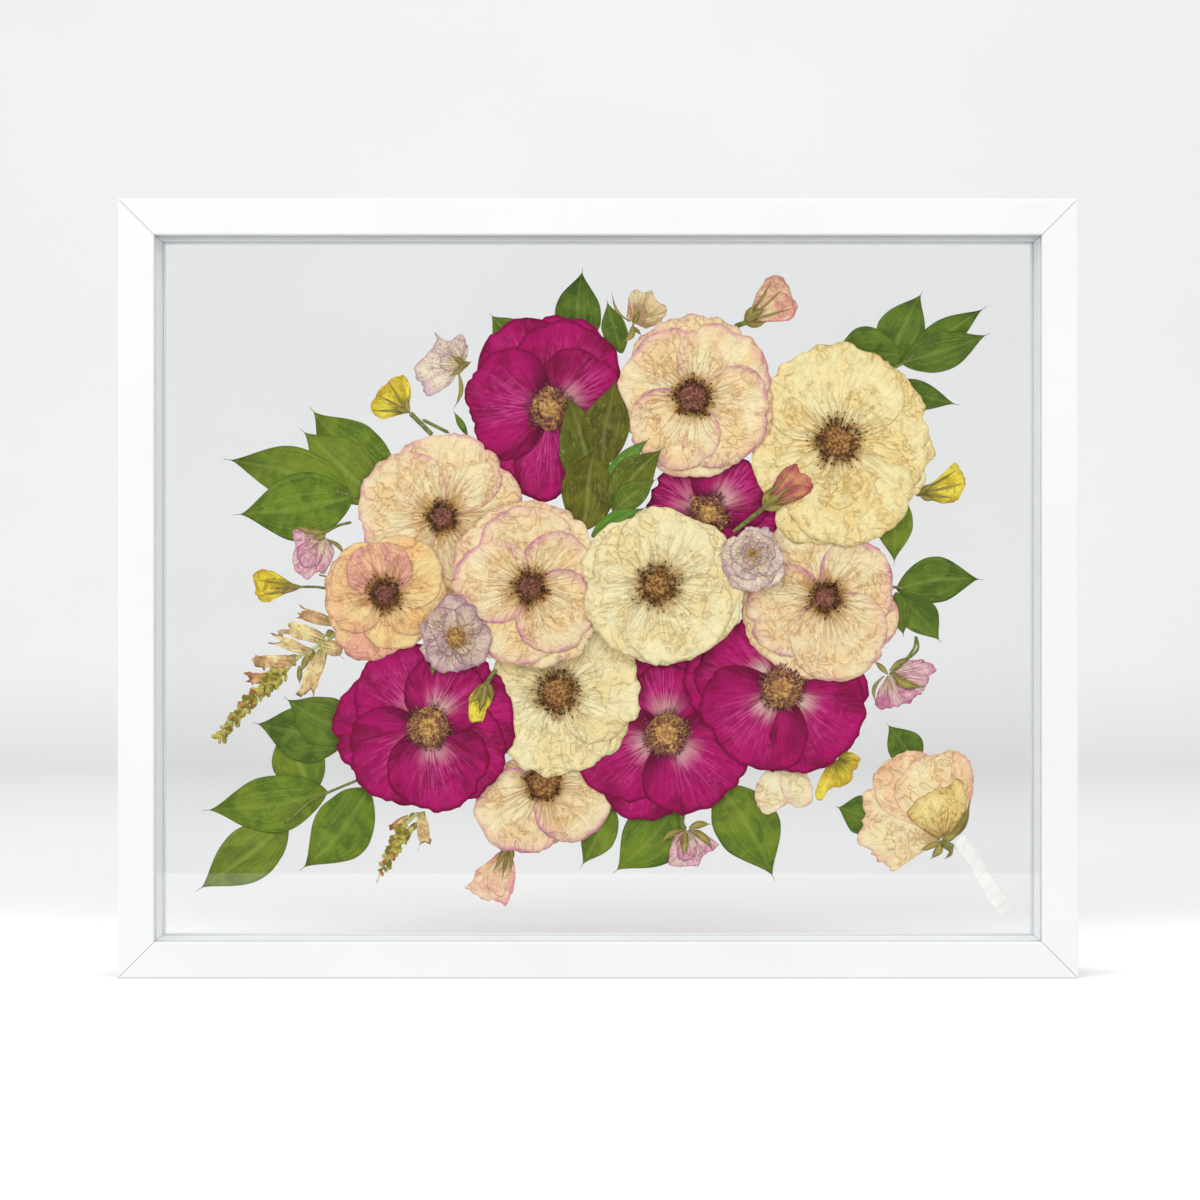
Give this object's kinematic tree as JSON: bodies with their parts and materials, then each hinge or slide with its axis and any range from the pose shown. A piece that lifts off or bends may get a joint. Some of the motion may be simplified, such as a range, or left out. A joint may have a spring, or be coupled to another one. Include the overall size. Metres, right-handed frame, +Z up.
{
  "type": "pressed flower frame",
  "caption": "White box frame holding a pressed bouquet of roses, buds and leaves, fixed between two panes of clear glass.",
  "frame": {"origin": "middle of the frame's underside", "axes": "+X to the right along the frame's width, seen from the front; +Y from the front face to the back; +Z up"},
  "size_m": [0.54, 0.039, 0.4384],
  "materials": {
    "wood_white": "satin white lacquer on smooth wood",
    "spacer_white": "matte white board",
    "glass_clear": "clear polished glass",
    "steel_bright": "zinc-plated pressed steel",
    "petal_magenta": "dried petal, deep magenta with pale veins",
    "petal_blush": "dried petal, cream with pink edges",
    "petal_cream": "dried petal, creased cream",
    "petal_peach": "dried petal, peach and pink",
    "petal_pink": "dried petal, dusty pink",
    "petal_lavender": "dried petal, greyed lavender",
    "petal_yellow": "dried petal, yellow with olive base",
    "leaf_green": "pressed leaf, mid green with fine parallel veins",
    "spike_olive": "dried florets, tan and olive",
    "satin_white": "white satin ribbon"
  },
  "bodies": {
    "root": {"bloom_blush_left": "petal_blush", "bloom_blush_low": "petal_blush", "bloom_blush_right": "petal_blush", "bloom_blush_top": "petal_blush", "bloom_cream_low": "petal_cream", "bloom_cream_middle": "petal_cream", "bloom_cream_right": "petal_cream", "bloom_magenta_hidden": "petal_magenta", "bloom_magenta_left": "petal_magenta", "bloom_magenta_low": "petal_magenta", "bloom_magenta_right": "petal_magenta", "bloom_magenta_top": "petal_magenta", "bloom_peach": "petal_peach", "bloom_pink_edged": "petal_blush", "frame_rail_bottom": "wood_white", "frame_rail_top": "wood_white", "frame_stile_left": "wood_white", "frame_stile_right": "wood_white", "hanger_left": "steel_bright", "hanger_right": "steel_bright", "leaf_bottom": "leaf_green", "leaf_cluster": "leaf_green", "leaf_top": "leaf_green", "leaf_upper_right": "leaf_green", "leaves_by_single_rose": "leaf_green", "lisianthus_green": "petal_yellow", "lisianthus_peach_bottom": "petal_peach", "lisianthus_peach_middle": "petal_peach", "lisianthus_peach_top": "petal_peach", "lisianthus_yellow_left": "petal_yellow", "lisianthus_yellow_right": "petal_yellow", "lisianthus_yellow_top": "petal_yellow", "pane_front": "glass_clear", "pane_rear": "glass_clear", "petals_cream_loose": "petal_cream", "rear_strip_bottom": "wood_white", "rear_strip_left": "wood_white", "rear_strip_right": "wood_white", "rear_strip_top": "wood_white", "ribbon_wrapped_stem": "satin_white", "rose_lavender_small": "petal_lavender", "rosebud_cream": "petal_cream", "rosebud_lavender": "petal_lavender", "rosebud_pink_bottom": "petal_pink", "rosebud_pink_left": "petal_pink", "rosebud_pink_right": "petal_pink", "rosette_lavender": "petal_lavender", "single_rose": "petal_peach", "spacer_bottom": "spacer_white", "spacer_left": "spacer_white", "spacer_right": "spacer_white", "spacer_top": "spacer_white", "spike_left": "spike_olive", "spike_low": "spike_olive", "sprig_bottom": "leaf_green", "sprig_left": "leaf_green", "sprig_lower_left": "leaf_green", "sprig_middle_left": "leaf_green", "sprig_right": "leaf_green", "sprig_upper_right": "leaf_green"}
  },
  "joints": []
}
